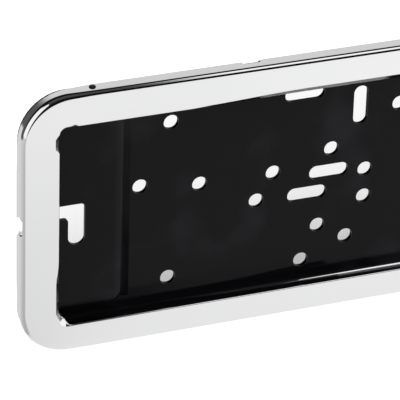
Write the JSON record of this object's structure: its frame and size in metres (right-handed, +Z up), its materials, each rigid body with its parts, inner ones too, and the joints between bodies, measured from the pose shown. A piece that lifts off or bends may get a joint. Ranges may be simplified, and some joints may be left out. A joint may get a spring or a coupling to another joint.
{
  "type": "number plate holder",
  "caption": "Long number plate holder: polished sheet-metal bezel with rounded corners and a rolled inner edge, snapped over a black base tray with fixing holes and slots.",
  "frame": {"origin": "middle of the rear face of the tray, which lies against the vehicle", "axes": "+X along the holder to the right as seen from the front, +Y to the rear into the vehicle, +Z up"},
  "size_m": [0.535, 0.015, 0.1364],
  "materials": {
    "black_moulding": "black moulded plastic with a fairly even gloss",
    "polished_metal": "mirror-polished pressed sheet"
  },
  "bodies": {
    "root": {"base_tray": "black_moulding", "front_bezel": "polished_metal"}
  },
  "joints": []
}
